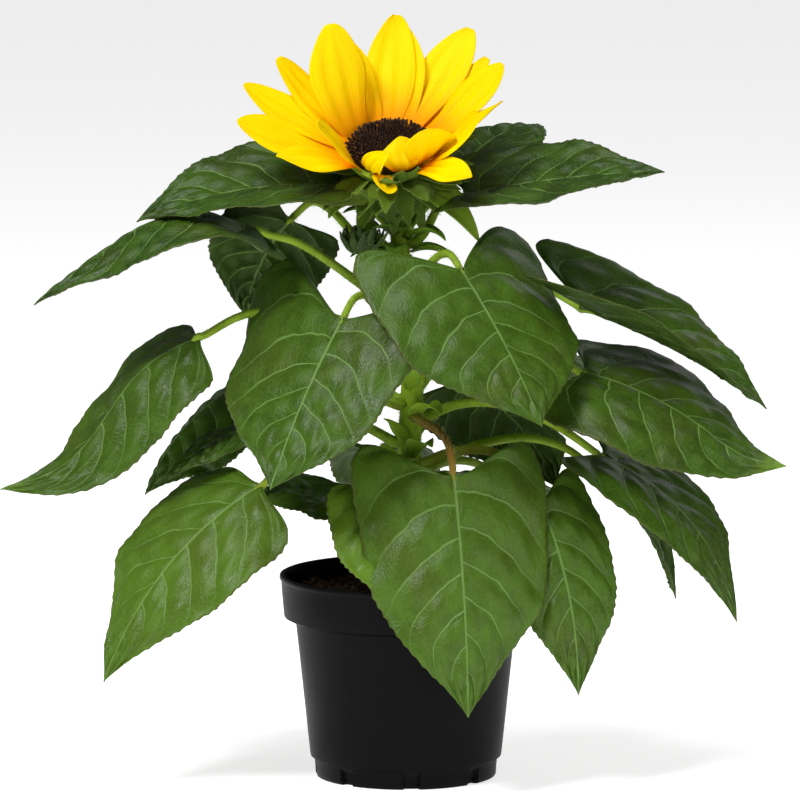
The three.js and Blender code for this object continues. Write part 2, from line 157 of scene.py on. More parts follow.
class Batch:
    """Faces of one piece, gathered part by part and made into one mesh at the end."""

    def __init__(self):
        self.points, self.quads, self.slots = [], [], []
        self.fields, self.bake = {}, []
        self.count = 0

    def add(self, points, quads, slots=None, bake=None, **fields):
        """Adds points (n, 3), quads (m, 4), a material index a face, bake UVs a corner, and fields."""
        points = points.reshape(-1, 3)
        quads = np.asarray(quads).reshape(-1, 4)
        self.points.append(points)
        self.quads.append(quads + self.count)
        self.slots.append(np.zeros(len(quads), int) if slots is None else slots)
        self.bake.append(np.zeros((quads.size, 2)) if bake is None else bake.reshape(-1, 2))
        for name, values in fields.items():
            values = np.full(len(points), float(values)) if np.ndim(values) == 0 else values.reshape(-1)
            self.fields.setdefault(name, []).append(values)
        self.count += len(points)

    def make(self, name, materials, node_names, slot, baked=False):
        """Makes the piece, puts it on the plant and hides the CAD nodes it stands for."""
        points, quads = np.concatenate(self.points), np.concatenate(self.quads)
        mesh = bpy.data.meshes.new(name)
        mesh.vertices.add(len(points))
        mesh.vertices.foreach_set("co", points.ravel())
        mesh.loops.add(quads.size)
        mesh.loops.foreach_set("vertex_index", quads.ravel().astype(np.int32))
        mesh.polygons.add(len(quads))
        mesh.polygons.foreach_set("loop_start", np.arange(0, quads.size, 4, dtype=np.int32))
        mesh.polygons.foreach_set("use_smooth", np.ones(len(quads), bool))
        for material in materials:
            mesh.materials.append(material)
        mesh.polygons.foreach_set("material_index", np.concatenate(self.slots).astype(np.int32))
        mesh.update(calc_edges=True)
        for field, values in self.fields.items():
            layer = mesh.attributes.new(field, "FLOAT", "POINT")
            layer.data.foreach_set("value", np.concatenate(values).astype(np.float32))
        if baked:
            layer = mesh.uv_layers.new(name="OFBake")
            layer.data.foreach_set("uv", np.concatenate(self.bake).ravel())
        mesh.validate()
        piece = bpy.data.objects.new(name, mesh)
        bpy.context.scene.collection.objects.link(piece)
        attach(piece, "root")
        if node_names:
            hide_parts(*node_names)
        return piece


def grid_quads(rows, columns, offset=0, flip=False):
    """The quads of a grid of points, row after row."""
    row, column = np.meshgrid(np.arange(rows - 1), np.arange(columns - 1), indexing="ij")
    corner = offset + row * columns + column
    quads = np.stack([corner, corner + 1, corner + columns + 1, corner + columns], -1).reshape(-1, 4)
    return quads[:, ::-1] if flip else quads


def ring_corners(rows, sides, start=0):
    """The index of each point in rows of closed rings of points, and of the point beside it."""
    row, side = np.arange(start, rows)[:, None] * sides, np.arange(sides)[None]
    return (row + side).ravel(), (row + (side + 1) % sides).ravel()


def rim_strip(rows, columns, offset):
    """Quads that join the border of a grid to the border of a second grid of the same size."""
    top = np.arange(columns)
    right = np.arange(rows) * columns + columns - 1
    bottom = (rows - 1) * columns + np.arange(columns)[::-1]
    left = (np.arange(rows) * columns)[::-1]
    border = np.concatenate([top[:-1], right[:-1], bottom[:-1], left[:-1]])
    ahead = np.roll(border, -1)
    return np.stack([ahead, border, border + offset, ahead + offset], -1)


def add_sheet(batch, upper, under, tile=(0.0, 0.0, 1.0), under_slot=1, **fields):
    """Adds a thin closed sheet: an upper grid, an under grid and the rim between them.

    tile is the lower left corner and the side of the square that the sheet bakes into.
    """
    rows, columns = upper.shape[:2]
    size = rows * columns
    sides = grid_quads(rows, columns), grid_quads(rows, columns, size, flip=True)
    quads = np.concatenate([*sides, rim_strip(rows, columns, size)])
    faces = (rows - 1) * (columns - 1)
    slots = np.zeros(len(quads), int)
    slots[faces : 2 * faces] = under_slot
    along, across = np.meshgrid(np.linspace(0.02, 0.98, rows), np.linspace(0, 1, columns), indexing="ij")
    left, low, width = tile
    upper_place = np.stack([0.02 + 0.46 * across, along], -1).reshape(-1, 2)
    corners = np.concatenate([upper_place, upper_place + (0.5, 0)])[quads]
    rim = corners[2 * faces :]
    rim[:, 2:] = (0.25, 0.5) + (rim[:, [1, 0]] - (0.25, 0.5)) * 1.03
    bake = (left, low) + width * corners
    spread = {name: np.broadcast_to(values, (rows, columns)).ravel() for name, values in fields.items()}
    doubled = {name: np.tile(values, 2) for name, values in spread.items()}
    points = np.concatenate([upper.reshape(-1, 3), under.reshape(-1, 3)])
    batch.add(points, quads, slots, bake, **doubled)


def grid_normals(grid):
    """Unit normals of a grid of points, towards its upper side."""
    along = np.gradient(grid, axis=0)
    across = np.gradient(grid, axis=1)
    normals = unit(np.cross(across, along))
    normals[0], normals[-1] = normals[1], normals[-2]
    return normals


def add_tube(batch, centres, radii, sides, ribs=0.0, rib_count=5, **fields):
    """Adds a round tube along a line of centres, closed at both ends, and returns its grid and normals."""
    along = unit(np.gradient(centres, axis=0))
    right = unit(np.cross(along, np.array([0.13, 0.21, 1.0])))
    up = np.cross(right, along)
    angle = np.linspace(0, 2 * math.pi, sides, endpoint=False)
    swell = radii[:, None] * (1 + ribs * np.cos(rib_count * angle))[None, :]
    out = right[:, None] * np.cos(angle)[None, :, None] + up[:, None] * np.sin(angle)[None, :, None]
    grid = centres[:, None] + out * swell[..., None]
    rows = len(centres)
    corner, beside = ring_corners(rows - 1, sides)
    quads = [np.stack([beside, corner, corner + sides, beside + sides], -1)]
    for row, order in ((0, 1), (rows - 1, -1)):
        cap = (row * sides + np.arange(sides))[::order]
        for j in range(1, sides - 2, 2):
            quads.append(cap[None, [0, j, j + 1, j + 2]])
    share = np.repeat(np.linspace(0, 1, rows), sides)
    batch.add(grid.reshape(-1, 3), np.concatenate(quads), along=share, **fields)
    return grid, out


def add_hairs(batch, roots, directions, lengths, width, rng, **fields):
    """Adds a fine three-sided hair on each root."""
    count = len(roots)
    lean = unit(directions + rng.normal(0, 0.28, (count, 3)))
    side = unit(np.cross(lean, rng.normal(0, 1, (count, 3))))
    other = np.cross(lean, side)
    foot = [roots + width * (side * math.cos(a) + other * math.sin(a)) for a in (0, 2.1, 4.2)]
    end = roots + lean * np.reshape(lengths, (-1, 1))
    tip = [end + 0.1 * (corner - roots) for corner in foot]
    points = np.stack([*foot, *tip], 1)
    base = np.arange(count)[:, None, None] * 6
    sides = np.array([[0, 1, 4, 3], [1, 2, 5, 4], [2, 0, 3, 5]])
    batch.add(points, base + sides[None], **fields)


# ------------------------------------------------------------------ materials

GREEN_DARK = (0.010, 0.033, 0.002, 1)
GREEN_MID = (0.030, 0.076, 0.003, 1)
GREEN_LIGHT = (0.16, 0.30, 0.020, 1)
VEIN = (0.16, 0.29, 0.07, 1)


class Nodes:
    """A material and short ways to add shader nodes to it."""

    def __init__(self, name, roughness, specular=0.5):
        self.material = bpy.data.materials.new(name)
        self.material.use_nodes = True
        self.tree = self.material.node_tree
        self.shader = self.tree.nodes["Principled BSDF"]
        self.shader.inputs["Roughness"].default_value = roughness
        self.shader.inputs["Specular IOR Level"].default_value = specular

    def node(self, kind, inputs=(), **settings):
        node = self.tree.nodes.new(kind)
        for name, value in settings.items():
            setattr(node, name, value)
        for key, value in dict(inputs).items():
            if isinstance(value, bpy.types.NodeSocket):
                self.tree.links.new(value, node.inputs[key])
            else:
                node.inputs[key].default_value = value
        return node

    def math(self, operation, *values):
        inputs = dict(enumerate(values))
        return self.node("ShaderNodeMath", inputs, operation=operation).outputs[0]

    def field(self, name):
        return self.node("ShaderNodeAttribute", attribute_name=name).outputs["Fac"]

    def ramp(self, value, low, high, out_low=0.0, out_high=1.0):
        inputs = {"Value": value, "From Min": low, "From Max": high, "To Min": out_low, "To Max": out_high}
        return self.node("ShaderNodeMapRange", inputs, interpolation_type="SMOOTHSTEP").outputs[0]

    def mix(self, share, first, second):
        inputs = {0: share, 6: first, 7: second}
        return self.node("ShaderNodeMix", inputs, data_type="RGBA").outputs[2]

    def place(self, x, y, z=0.0):
        return self.node("ShaderNodeCombineXYZ", {0: x, 1: y, 2: z}).outputs[0]

    def noise(self, scale, detail=3.0, where=None):
        inputs = {"Scale": scale, "Detail": detail}
        if where is None:
            where = self.node("ShaderNodeTexCoord").outputs["Object"]
        inputs["Vector"] = where
        return self.node("ShaderNodeTexNoise", inputs).outputs["Fac"]

    def cells(self, scale, where):
        inputs = {"Vector": where, "Scale": scale}
        return self.node("ShaderNodeTexVoronoi", inputs, feature="DISTANCE_TO_EDGE").outputs["Distance"]

    def set(self, **inputs):
        for name, socket in inputs.items():
            self.tree.links.new(socket, self.shader.inputs[name.replace("_", " ")])

    def bump(self, height, strength, distance):
        inputs = {"Height": height, "Strength": strength, "Distance": distance}
        self.set(Normal=self.node("ShaderNodeBump", inputs).outputs[0])


def plain(name, colour, roughness, specular=0.5):
    nodes = Nodes(name, roughness, specular)
    nodes.shader.inputs["Base Color"].default_value = colour
    return nodes.material


def leaf_material(name, under):
    """Leaf green with a pale midrib and side veins, and a fine net of cells between them."""
    n = Nodes(name, 0.46, 0.23)
    along, across = n.field("along"), n.field("across")
    cm_x, cm_y, tint = n.field("cm_x"), n.field("cm_y"), n.field("tint")
    reach = n.math("ABSOLUTE", across)
    sweep = n.math("MULTIPLY", reach, n.math("ADD", LATERAL_SWEEP, n.math("MULTIPLY", reach, LATERAL_ARCH)))
    left = n.math("LESS_THAN", across, 0.0)
    phase = n.math("MULTIPLY", n.math("SUBTRACT", along, sweep), float(LATERALS))
    phase = n.math("ADD", phase, n.math("MULTIPLY", left, LATERAL_SHIFT))
    wander = n.noise(0.8, 1.0, n.place(cm_x, cm_y, tint))
    phase = n.math("ADD", phase, n.math("MULTIPLY", n.math("SUBTRACT", wander, 0.5), 0.3))
    apart = n.math("ABSOLUTE", n.math("SUBTRACT", n.math("FRACT", phase), 0.5))
    lateral = n.ramp(apart, 0.5 - 0.042, 0.5 - 0.010)
    lateral = n.math("MULTIPLY", lateral, n.ramp(reach, 0.98, 0.5, 0.25, 1.0))
    off_middle = n.math("ABSOLUTE", cm_x)
    half_width = n.math("ADD", 0.028, n.math("MULTIPLY", n.math("SUBTRACT", 1.0, along), 0.06))
    middle = n.ramp(n.math("DIVIDE", off_middle, half_width), 1.25, 0.6)
    vein = n.math("MAXIMUM", lateral, middle)
    net_place = n.place(cm_x, cm_y, n.math("MULTIPLY", tint, 9.0))
    net = n.cells(3.8, net_place)
    fine = n.cells(9.5, net_place)
    mottle = n.noise(1.1, 4.0, net_place)
    cell = n.ramp(net, 0.0, 0.13)
    blade = n.mix(n.ramp(mottle, 0.3, 0.7), GREEN_DARK, GREEN_MID)
    blade = n.mix(n.math("MULTIPLY", tint, 0.9), blade, GREEN_LIGHT)
    flush = n.noise(0.35, 2.0, net_place)
    blade = n.mix(n.math("MULTIPLY", n.ramp(flush, 0.5, 0.72), 0.3), blade, (0.06, 0.055, 0.010, 1))
    grain = n.math("MULTIPLY", n.math("SUBTRACT", 1.0, cell), 0.10)
    blade = n.mix(grain, blade, VEIN)
    edge = n.ramp(reach, 0.972, 0.995)
    if under:
        blade = n.mix(0.4, blade, (0.06, 0.105, 0.02, 1))
        colour = n.mix(n.math("MULTIPLY", vein, 0.75), blade, VEIN)
    else:
        colour = n.mix(n.math("MULTIPLY", vein, 0.7), blade, VEIN)
    colour = n.mix(n.math("MULTIPLY", edge, 0.4), colour, (0.10, 0.075, 0.022, 1))
    relief = n.math("ADD", n.math("MULTIPLY", cell, 0.35), n.math("MULTIPLY", n.ramp(fine, 0.0, 0.2), 0.1))
    sunk = n.math("MULTIPLY", vein, 1.0 if under else -0.9)
    n.bump(n.math("ADD", relief, sunk), 0.42, 0.00045)
    rough = (0.50, 0.60) if under else (0.32, 0.44)
    n.set(Base_Color=colour, Roughness=n.ramp(mottle, 0.25, 0.75, *rough))
    return n.material


def stalk_material(name, green, red):
    """Hairy green skin, ribbed along, flushed with red where the tint is high."""
    n = Nodes(name, 0.6, 0.15)
    streak = n.noise(260.0, 3.0)
    patch = n.noise(60.0, 3.0)
    pale = tuple(min(1.0, 1.5 * c + 0.02) for c in green[:3]) + (1,)
    colour = n.mix(n.ramp(patch, 0.3, 0.7), green, pale)
    colour = n.mix(n.math("MULTIPLY", n.ramp(streak, 0.45, 0.7), 0.25), colour, (0.05, 0.075, 0.012, 1))
    colour = n.mix(n.field("tint"), colour, red)
    n.bump(streak, 0.5, 0.0004)
    n.set(Base_Color=colour)
    return n.material


def ray_material():
    """Yellow, turning a darker orange towards the foot, partly the rays' own orange and partly painted shade,
    with fine veins along it.
    """
    n = Nodes("ray", 0.5, 0.06)
    along, across = n.field("along"), n.field("across")
    stretched = n.place(n.math("MULTIPLY", across, 14.0), n.math("MULTIPLY", along, 1.4), n.field("tint"))
    lines = n.noise(1.0, 3.0, stretched)
    # The darker orange towards the foot is partly the rays' own colour and partly painted shade.
    foot_orange_and_shade = n.ramp(along, 0.5, 0.0)
    colour = n.mix(foot_orange_and_shade, (1.0, 0.70, 0.0, 1), (0.94, 0.30, 0.0, 1))
    colour = n.mix(n.math("MULTIPLY", n.ramp(lines, 0.5, 0.75), 0.4), colour, (0.97, 0.50, 0.0, 1))
    n.bump(lines, 0.6, 0.0006)
    n.set(Base_Color=colour)
    return n.material


def speckled(name, first, second, scale, roughness, bump=0.0006):
    n = Nodes(name, roughness, 0.3)
    speck = n.noise(scale, 4.0)
    n.bump(speck, 0.8, bump)
    n.set(Base_Color=n.mix(n.ramp(speck, 0.35, 0.65), first, second))
    return n.material


def pot_material():
    """Black nursery-pot plastic, satin with a fine grain."""
    n = Nodes("pot", 0.45, 0.07)
    grain = n.noise(900.0, 2.0)
    cloud = n.noise(18.0, 3.0)
    n.bump(grain, 0.12, 0.0002)
    n.set(Base_Color=n.mix(cloud, (0.0015, 0.0015, 0.0015, 1), (0.0030, 0.0030, 0.0031, 1)))
    n.set(Roughness=n.ramp(cloud, 0.3, 0.7, 0.38, 0.48))
    return n.material


LEAF_TOP = leaf_material("leaf_top", False)
LEAF_UNDER = leaf_material("leaf_under", True)
STEM_SKIN = stalk_material("stem", (0.24, 0.38, 0.010, 1), (0.14, 0.06, 0.02, 1))
PETIOLE_SKIN = stalk_material("petiole", (0.21, 0.34, 0.015, 1), (0.20, 0.08, 0.015, 1))
# The shoot material's first, brighter green is partly the young shoots' yellow-green and partly painted
# light, for the low shoots in the leaves' shade. Its second, darker green is the higher shoots' own colour.
SHOOT_GREEN_AND_PAINTED_LIGHT = stalk_material("shoot", (0.20, 0.34, 0.012, 1), (0.05, 0.12, 0.008, 1))
BRACT_SKIN = stalk_material("bract", (0.016, 0.040, 0.004, 1), (0.22, 0.36, 0.02, 1))
RAY_SKIN = ray_material()
DISC_SKIN = speckled("disc", (0.008, 0.003, 0.002, 1), (0.035, 0.012, 0.004, 1), 700.0, 0.75)
FLORET_SKIN = speckled("floret", (0.014, 0.005, 0.002, 1), (0.07, 0.024, 0.006, 1), 500.0, 0.7)
SOIL_SKIN = speckled("soil", (0.010, 0.0045, 0.0035, 1), (0.05, 0.022, 0.014, 1), 420.0, 0.95, 0.001)
CRUMB_SKIN = speckled("crumb", (0.022, 0.009, 0.006, 1), (0.085, 0.04, 0.024, 1), 300.0, 0.9, 0.001)
HAIR_SKIN = plain("hair", (0.46, 0.56, 0.20, 1), 0.6, 0.1)

# ------------------------------------------------------------------ leaves

# How light and yellow each leaf is, from 0 to 1, and how strongly its margin waves.
LEAF_LOOKS = {
    "front_left_low": (0.75, 0.6), "front_centre": (0.32, 1.0), "front_right_low": (0.28, 0.8),
    "left_low": (0.42, 1.2), "right_low": (0.20, 0.8), "right_thin": (0.12, 0.8),
    "left_back": (0.10, 1.0), "left_back_low": (0.15, 0.8), "left_under": (0.18, 0.8),
    "back_centre": (0.12, 1.0), "right_mid": (0.14, 1.1), "left_mid": (0.22, 1.0),
    "front_left_high": (0.18, 1.0), "front_right_high": (0.20, 1.0), "right_high": (0.12, 1.0),
    "left_high": (0.06, 1.3), "left_shaded": (0.02, 0.8), "left_top": (0.06, 1.0),
    "right_top": (0.04, 0.9), "back_right_top": (0.02, 1.0), "back_left_top": (0.06, 1.0),
}
PLAIN_LOOKS = (0.22, 1.0)
# How much fuller than the CAD blade a leaf is near its foot, on the half towards -X and towards +X.
LOBE_FULLNESS = {
    "front_left_high": (0.5, 0.2), "front_right_high": (0.12, 0.14), "front_centre": (0.22, 0.22),
    "right_high": (0.25, 0.25), "left_low": (0.14, 0.12),
}
PLAIN_FULLNESS = (0.06, 0.06)
FULLEST, FULL_REACH = 0.17, 0.13  # where along the leaf it is fullest, and over how much of it
LOBE_BACK = {"front_right_high": 9, "front_left_high": 5, "right_high": 6}  # further back, in millimetres
BACK_REACH = 0.16  # how much of the leaf goes back with its lobes
LOBE_TRIM = {"front_left_high": 0.24}  # how far the half towards +X is drawn in
TRIMMEST, TRIM_REACH = 0.42, 0.2  # where along the leaf it is drawn in most, and over how much of it
LOBE_ROUNDING = 5  # how strongly the corners of the lobes are rounded off
TIP_TINT = {"right_mid": 0.9, "left_mid": 0.3}  # how much lighter a leaf is at its tip
PETIOLE_RED = {"front_centre": 0.9, "front_right_low": 0.5, "left_low": 0.35, "front_left_low": 0.3}


def blade_sections(name, joint):
    """The upper side of a blade, in rows from foot to tip.

    Each row has the left margin, a quarter, the midrib, a quarter and the right margin.
    """
    first, rings, last = cad_rings("leaf_" + name, lambda p: np.linalg.norm(p - joint))
    ring = rings[len(rings) // 2]
    sides = len(ring)
    apart = [np.linalg.norm(ring[j] - ring[j + sides // 2]) for j in range(sides // 2)]
    margin = int(np.argmax(apart))
    ahead = [np.linalg.norm(ring[j] - ring[(j + 1) % sides]) for j in (margin, margin + sides // 2)]
    left = margin if ahead[0] > ahead[1] else margin + sides // 2
    upper = rings[:, (left + np.arange(5)) % sides]
    ends = [np.repeat(point[None, None], 5, axis=1) for point in (first, last)]
    return np.concatenate([ends[0], upper, ends[1]])


def across_halves(sections, columns):
    """Fills each half of every row with a parabola through its margin, quarter and midrib."""
    reach = np.linspace(-1, 1, columns)
    v = np.abs(reach)
    weights = [(1 - v) * (1 - 2 * v), 4 * v * (1 - v), v * (2 * v - 1)]
    quarter, margin = np.where(reach < 0, 1, 3), np.where(reach < 0, 0, 4)
    parts = (sections[:, [2] * columns], sections[:, quarter], sections[:, margin])
    return reach, sum(part * weight[None, :, None] for part, weight in zip(parts, weights))


def make_leaf(name, joint, seed):
    """A fine leaf blade on its CAD node. Returns the line of its midrib and the up direction along it."""
    rng = np.random.default_rng(seed)
    tint, waviness = LEAF_LOOKS.get(name, PLAIN_LOOKS)
    sections = smooth(blade_sections(name, joint), BLADE_ROWS, 0.35, 0.03)
    reach, grid = across_halves(sections, BLADE_COLUMNS)
    middle = grid[:, BLADE_COLUMNS // 2].copy()
    share = np.linspace(0, 1, BLADE_ROWS)[:, None, None]
    facing = 1 if grid[BLADE_ROWS // 3, -1, 0] > grid[BLADE_ROWS // 3, 0, 0] else -1
    to_x = (facing * reach)[None, :, None]
    less, more = LOBE_FULLNESS.get(name, PLAIN_FULLNESS)
    fuller = np.where(to_x < 0, less, more) * np.exp(-(((share - FULLEST) / FULL_REACH) ** 2))
    trim = LOBE_TRIM.get(name, 0.0) * np.exp(-(((share - TRIMMEST) / TRIM_REACH) ** 2))
    trim = trim * step(np.maximum(to_x, 0), 0.0, 0.6)
    grid = middle[:, None] + (grid - middle[:, None]) * (1 + fuller) * (1 - trim)
    back = LOBE_BACK.get(name, 0.0) * MM * np.exp(-((share / BACK_REACH) ** 2))
    back = back * step(share, 0.0, 0.05) * to_x**2
    grid = grid - unit(middle[BLADE_ROWS // 4] - middle[0]) * back
    softened = grid.copy()
    for _ in range(LOBE_ROUNDING**2):
        softened[1:-1] = 0.25 * softened[:-2] + 0.5 * softened[1:-1] + 0.25 * softened[2:]
    outer = (reach**2)[None, :, None] * (1 - step(share, 0.25, 0.4))
    grid = grid * (1 - outer) + softened * outer
    gone = np.concatenate([[0], np.cumsum(np.linalg.norm(np.diff(middle, axis=0), axis=1))])
    along = np.repeat((gone / gone[-1])[:, None], BLADE_COLUMNS, axis=1)
    across = np.repeat(reach[None], BLADE_ROWS, axis=0)
    v = np.abs(across)
    spread = np.linalg.norm(np.diff(grid, axis=1), axis=2)
    out = np.concatenate([np.zeros((BLADE_ROWS, 1)), np.cumsum(spread, axis=1)], axis=1)
    out -= out[:, [BLADE_COLUMNS // 2]]
    normals = grid_normals(grid)

    phase = (along - v * (LATERAL_SWEEP + LATERAL_ARCH * v)) * LATERALS + LATERAL_SHIFT * (across < 0)
    between = np.abs(np.sin(math.pi * phase)) ** 0.7
    cross = np.sin(math.pi * (v * 6.5 + 0.6 * np.sin(phase * 2.1)))
    fade = step(along, 0.0, 0.12) * step(1 - along, 0.0, 0.12) * step(1 - v, 0.0, 0.15)
    width = np.ptp(out, axis=1)[:, None] / 2
    trench = np.exp(-((np.abs(out) / (1.6 * MM)) ** 2))
    relief = QUILT * (between * (0.9 + 0.22 * cross * between) - 0.9) * fade * step(v, 0.0, 0.12)
    relief -= 0.9 * MM * trench * (1 - along)
    wave = np.zeros_like(along)
    for turns, size in ((1.7, 1.0), (3.3, 0.6), (5.9, 0.3)):
        for side in (-1, 1):
            shift = rng.uniform(0, 2 * math.pi)
            wave += size * np.sin(2 * math.pi * turns * along + shift) * (across * side > 0)
    relief += MARGIN_WAVE * waviness * wave * v**2 * step(along, 0.0, 0.15) * np.minimum(width / (25 * MM), 1)
    grid = grid + normals * relief[..., None]

    tooth = (along * TEETH + 0.5 * (across < 0)) % 1.0
    toothed = step(v, 0.84, 1.0) * step(along, 0.06, 0.14) * step(1 - along, 0.0, 0.06)
    serrate = TOOTH * (tooth**1.4 - 0.45) * toothed
    outward = unit(np.gradient(grid, axis=1)) * np.sign(across)[..., None]
    grid = grid + outward * (serrate * np.minimum(width / (20 * MM), 1))[..., None]

    normals = grid_normals(grid)
    lateral_ridge = np.exp(-((np.sin(math.pi * phase) / 0.3) ** 2)) * fade
    ridge = (1.3 * (1 - 0.8 * along) * np.exp(-((out / (1.5 * MM)) ** 2)) + 0.35 * lateral_ridge) * MM
    under = grid - normals * (BLADE_THICKNESS + ridge)[..., None]
    batch = Batch()
    cm_y = np.repeat(gone[:, None], BLADE_COLUMNS, axis=1) * 100 + 20 * seed
    tints = tint + TIP_TINT.get(name, 0.0) * step(along, 0.84, 0.97)
    add_sheet(batch, grid, under, along=along, across=across, cm_x=out * 100, cm_y=cm_y, tint=tints)
    batch.make("blade_" + name, [LEAF_TOP, LEAF_UNDER], ["leaf_" + name], "leaf", baked=True)
    return grid[:, BLADE_COLUMNS // 2], normals[:, BLADE_COLUMNS // 2]


# ------------------------------------------------------------------ petioles and stem


def line_of(node, measure):
    """The middle line of a lofted CAD node and its radius along the line."""
    first, rings, last = cad_rings(node, measure)
    centres = rings.mean(axis=1)
    radii = np.linalg.norm(rings - centres[:, None], axis=2).mean(axis=1)
    return first, centres, radii, last


def scatter_hairs(batch, grid, out, count, length, width, rng, **fields):
    """Puts hairs on the points of a tube."""
    row, side = rng.integers(1, len(grid) - 1, count), rng.integers(0, grid.shape[1], count)
    share = rng.random((count, 1))
    roots = grid[row, side] * share + grid[row + 1, side] * (1 - share)
    add_hairs(batch, roots, out[row, side], length * rng.uniform(0.5, 1.2, count), width, rng, **fields)


STEM_LINE, STEM_RADII, STEM_TOP = line_of("stem", lambda p: p[2])[1:]


def stem_middle(height):
    """The stem's middle at a height."""
    return np.array([np.interp(height, STEM_LINE[:, 2], STEM_LINE[:, axis]) for axis in (0, 1)] + [height])


def make_leaves():
    """Every petiole and blade, on its own CAD nodes."""
    stalks, hairs = Batch(), Batch()
    rng = np.random.default_rng(SEED)
    names = sorted(node[len("leaf_"):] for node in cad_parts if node.startswith("leaf_"))
    for index, name in enumerate(names):
        first, centres, radii, last = line_of("petiole_" + name, lambda p: math.hypot(p[0], p[1]))
        middle, up = make_leaf(name, last, index + 1)
        root = stem_middle(first[2])
        root = root + (first - root) * 0.55
        under = [middle[row] - up[row] * 1.1 * MM for row in (4, 9, 15)]
        line = smooth(np.vstack([root, first, centres[1:-1], centres[-1] * 0.5 + last * 0.5, under]), 46)
        share = np.linspace(0, 1, len(line))
        size = np.interp(share, np.linspace(0, 0.9, len(radii)), radii)
        size = size * (1 + 0.5 * np.exp(-share * 16)) * (1 - 0.75 * step(share, 0.84, 1.0))
        red = PETIOLE_RED.get(name, 0.05)
        tint = np.repeat(red * (0.55 + 0.45 * np.sin(math.pi * share)), 12)
        grid, out = add_tube(stalks, line, size, 12, 0.05, 4, tint=tint)
        scatter_hairs(hairs, grid[:40], out[:40], 190, 2.0 * MM, 0.09 * MM, rng)
    stalk_nodes = ["petiole_" + name for name in names]
    stalks.make("petioles", [PETIOLE_SKIN], stalk_nodes, "petiole")
    hairs.make("petiole_hairs", [HAIR_SKIN], [], "petiole")


def leaflet(batch, foot, direction, up, length, width, curl, rng, fold, tint, tile, rows=17, columns=9):
    """A small pointed leaf or bract that curls by so many degrees from foot to tip."""
    share = np.linspace(0, 1, rows)
    angle = np.radians(curl) * share
    pace = np.cumsum(np.cos(angle)) / rows, np.cumsum(np.sin(angle)) / rows
    along_axis, up = unit(direction), unit(up - direction * np.dot(up, unit(direction)))
    right = np.cross(along_axis, up)
    middle = foot + length * (pace[0][:, None] * along_axis + pace[1][:, None] * up)
    ahead = np.cos(angle)[:, None] * along_axis + np.sin(angle)[:, None] * up
    over = np.cross(right, ahead)
    reach = np.linspace(-1, 1, columns)
    half = width / 2 * np.sin(math.pi * (0.14 + 0.85 * share) ** 0.85) ** 0.9
    lift = fold * np.abs(reach) ** 1.4
    sway = np.sin(share[:, None] * rng.uniform(5, 9) + reach[None] * 1.5 + rng.uniform(0, 6))
    sway = 0.16 * sway * np.abs(reach)
    across = half[:, None] * reach[None]
    rise = half[:, None] * (lift[None] + sway)
    grid = middle[:, None] + across[..., None] * right + rise[..., None] * over[:, None]
    normals = grid_normals(grid)
    under = grid - normals * 0.45 * MM
    fields = {
        "along": np.repeat(share[:, None], columns, 1),
        "across": np.repeat(reach[None], rows, 0),
        "cm_x": across * 100,
        "cm_y": np.repeat(share[:, None] * length * 100, columns, 1) + 3,
        "tint": tint,
    }
    add_sheet(batch, grid, under, tile, **fields)
    return grid, normals


# Small leaves in the leaf axils: height on the stem, direction in degrees from +X, length, width,
# degrees of rise and degrees of curl.
SHOOTS = [
    (148, 255, 26, 12, 35, -70), (152, 290, 30, 11, 50, -60), (158, 232, 22, 9, 65, -40),
    (170, 300, 28, 12, 55, -80), (176, 215, 24, 10, 40, -50), (184, 268, 20, 8, 70, -30),
    (196, 318, 26, 10, 45, -60), (202, 240, 22, 9, 60, -55), (140, 330, 24, 10, 30, -40),
    (214, 285, 24, 10, 50, -60), (226, 250, 26, 11, 40, -80), (160, 60, 24, 10, 45, -50),
    (188, 110, 22, 9, 50, -50), (210, 70, 24, 10, 45, -60), (232, 130, 20, 9, 50, -50),
    (240, 300, 22, 10, 40, -70), (248, 210, 24, 9, 35, -60), (252, 262, 24, 11, 30, -70),
    (256, 320, 26, 10, 45, -80), (258, 236, 26, 11, 40, -60), (262, 285, 22, 10, 50, -90),
    (266, 350, 22, 9, 45, -60), (264, 200, 26, 10, 50, -70), (268, 250, 20, 9, 55, -70),
    (250, 345, 26, 11, 25, -70), (244, 270, 24, 10, 35, -60), (234, 20, 24, 10, 35, -70),
]


def compass(degrees, rise=0.0):
    """A unit vector at so many degrees from +X and so many above level."""
    turn, lift = math.radians(degrees), math.radians(rise)
    return np.array([math.cos(turn) * math.cos(lift), math.sin(turn) * math.cos(lift), math.sin(lift)])


